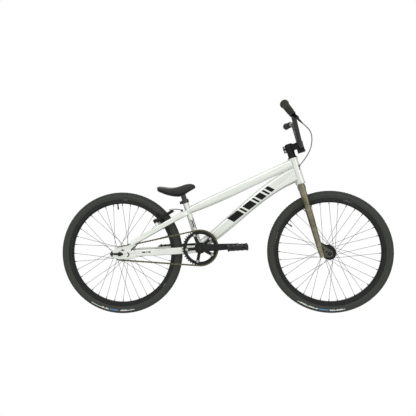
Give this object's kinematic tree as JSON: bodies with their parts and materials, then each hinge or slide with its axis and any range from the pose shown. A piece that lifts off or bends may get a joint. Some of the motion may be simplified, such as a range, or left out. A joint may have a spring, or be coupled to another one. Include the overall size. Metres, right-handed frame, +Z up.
{
  "type": "bmx bike",
  "caption": "Race cruiser BMX bicycle with a polished alloy frame, chrome fork, high bar with crossbar, single-speed chain drive and rear rim brake.",
  "frame": {"origin": "on the ground midway between the two axles, in the plane of the frame", "axes": "+X forward, +Y to the left of the rider, +Z up; the chain is on the right, at -Y"},
  "size_m": [1.5966, 0.7221, 0.9866],
  "materials": {
    "tyre_rubber": "matt rubber with low tread blocks",
    "rim_black": "black anodised, satin",
    "spoke_steel": "bright drawn wire",
    "hub_black": "black anodised",
    "frame_alloy": "polished and brushed, clear coated",
    "fork_nickel": "bright nickel plate",
    "black_alloy": "black anodised, satin",
    "dark_steel": "dark plated steel",
    "chain_steel": "oiled steel",
    "crank_black": "black forged, satin",
    "pedal_plastic": "moulded nylon",
    "grip_rubber": "ribbed soft rubber",
    "saddle_cover": "padded vinyl cover with a seam",
    "saddle_plastic": "moulded nylon base",
    "pad_rubber": "brake pad compound in a black holder",
    "bolt_steel": "zinc plated",
    "cable_grey": "plastic cable housing",
    "bearing_steel": "ground steel"
  },
  "bodies": {
    "frame": {"head_tube": "frame_alloy", "top_tube": "frame_alloy", "down_tube": "frame_alloy", "seat_tube": "frame_alloy", "bb_shell": "frame_alloy", "dropout_right": "frame_alloy", "dropout_left": "frame_alloy", "seat_stay_right": "frame_alloy", "seat_stay_left": "frame_alloy", "chain_stay_right": "frame_alloy", "chain_stay_left": "frame_alloy", "stay_bridges": "frame_alloy", "bottom_bracket_cups": "hub_black", "headset_bearings": "bearing_steel", "seat_clamp": "black_alloy", "chain_tensioners": "dark_steel", "rear_axle": "dark_steel", "rear_axle_nuts": "dark_steel", "chain": "chain_steel", "rear_brake_cable": "cable_grey"},
    "steering": {"fork_crown": "fork_nickel", "fork_leg_right": "fork_nickel", "fork_leg_left": "fork_nickel", "fork_dropouts": "fork_nickel", "front_axle": "dark_steel", "headset_spacers": "black_alloy", "stem": "black_alloy", "stem_faceplate": "black_alloy", "stem_bolts": "bolt_steel", "handlebar": "black_alloy", "grip_right": "grip_rubber", "grip_left": "grip_rubber", "lever_bracket": "black_alloy", "front_brake_cable": "cable_grey"},
    "lever": {"brake_lever": "black_alloy"},
    "front_wheel": {"front_tyre": "tyre_rubber", "front_rim": "rim_black", "front_spokes": "spoke_steel", "front_hub": "hub_black"},
    "rear_wheel": {"rear_tyre": "tyre_rubber", "rear_rim": "rim_black", "rear_spokes": "spoke_steel", "rear_hub": "hub_black"},
    "freewheel": {"rear_cog": "dark_steel"},
    "crank": {"chainring": "crank_black", "chainring_bolts": "bolt_steel", "crank_arm_right": "crank_black", "crank_arm_left": "crank_black", "crank_spindle": "dark_steel", "pedal_axles": "dark_steel"},
    "right_pedal": {"pedal_right": "pedal_plastic"},
    "left_pedal": {"pedal_left": "pedal_plastic"},
    "seat": {"seat_post": "black_alloy", "saddle_base": "saddle_plastic", "saddle_cover": "saddle_cover"},
    "brake_right": {"brake_arm_right": "black_alloy", "brake_pad_right": "pad_rubber", "brake_noodle": "bolt_steel"},
    "brake_left": {"brake_arm_left": "black_alloy", "brake_pad_left": "pad_rubber"}
  },
  "joints": [
    {"name": "steering_turn", "type": "hinge", "parent": "frame", "child": "steering", "pos_m": [0.35123, 0, 0.6908], "axis": [-0.2924, 0, 0.9563], "range_deg": [-66, 84], "deforming": ["front_brake_cable"]},
    {"name": "front_wheel_spin", "type": "hinge", "parent": "steering", "child": "front_wheel", "pos_m": [0.50265, -0.00469, 0.29689], "axis": [0.1496, 0.9877, 0.0457], "continuous": true},
    {"name": "rear_wheel_spin", "type": "hinge", "parent": "frame", "child": "rear_wheel", "pos_m": [-0.503, 0, 0.297], "axis": [0, 1, 0], "continuous": true},
    {"name": "crank_spin", "type": "hinge", "parent": "frame", "child": "crank", "pos_m": [-0.11724, 0, 0.3235], "axis": [0, 1, 0], "continuous": true, "deforming": ["chain"]},
    {"name": "freewheel_spin", "type": "hinge", "parent": "frame", "child": "freewheel", "pos_m": [-0.503, -0.044, 0.297], "axis": [0, 1, 0], "continuous": true},
    {"name": "right_pedal_spin", "type": "hinge", "parent": "crank", "child": "right_pedal", "pos_m": [0.05841, -0.134, 0.33455], "axis": [0, 1, 0], "continuous": true},
    {"name": "left_pedal_spin", "type": "hinge", "parent": "crank", "child": "left_pedal", "pos_m": [-0.2929, 0.134, 0.31245], "axis": [0, 1, 0], "continuous": true},
    {"name": "seat_height", "type": "slide", "parent": "frame", "child": "seat", "axis": [-0.3024, 0, 0.9532], "range_m": [-0.01, 0.06]},
    {"name": "lever_pull", "type": "hinge", "parent": "steering", "child": "lever", "pos_m": [0.31235, -0.2064, 0.91633], "axis": [-0.6603, 0.2013, -0.7235], "range_deg": [0, 18], "stiffness_Nm_per_rad": 0.6, "springref_deg": -34.38},
    {"name": "brake_right_turn", "type": "hinge", "parent": "frame", "child": "brake_right", "pos_m": [-0.334, -0.043, 0.454], "axis": [-0.4909, 0, 0.8712], "range_deg": [0, 2.7], "deforming": ["rear_brake_cable"]},
    {"name": "brake_left_turn", "type": "hinge", "parent": "frame", "child": "brake_left", "pos_m": [-0.334, 0.043, 0.454], "axis": [0.4909, 0, -0.8712], "range_deg": [0, 2.7]}
  ],
  "couplings": [
    {"joint": "freewheel_spin", "follows": "crank_spin", "ratio": 2.8},
    {"joint": "brake_right_turn", "follows": "lever_pull", "ratio": 0.15},
    {"joint": "brake_left_turn", "follows": "lever_pull", "ratio": 0.15}
  ]
}
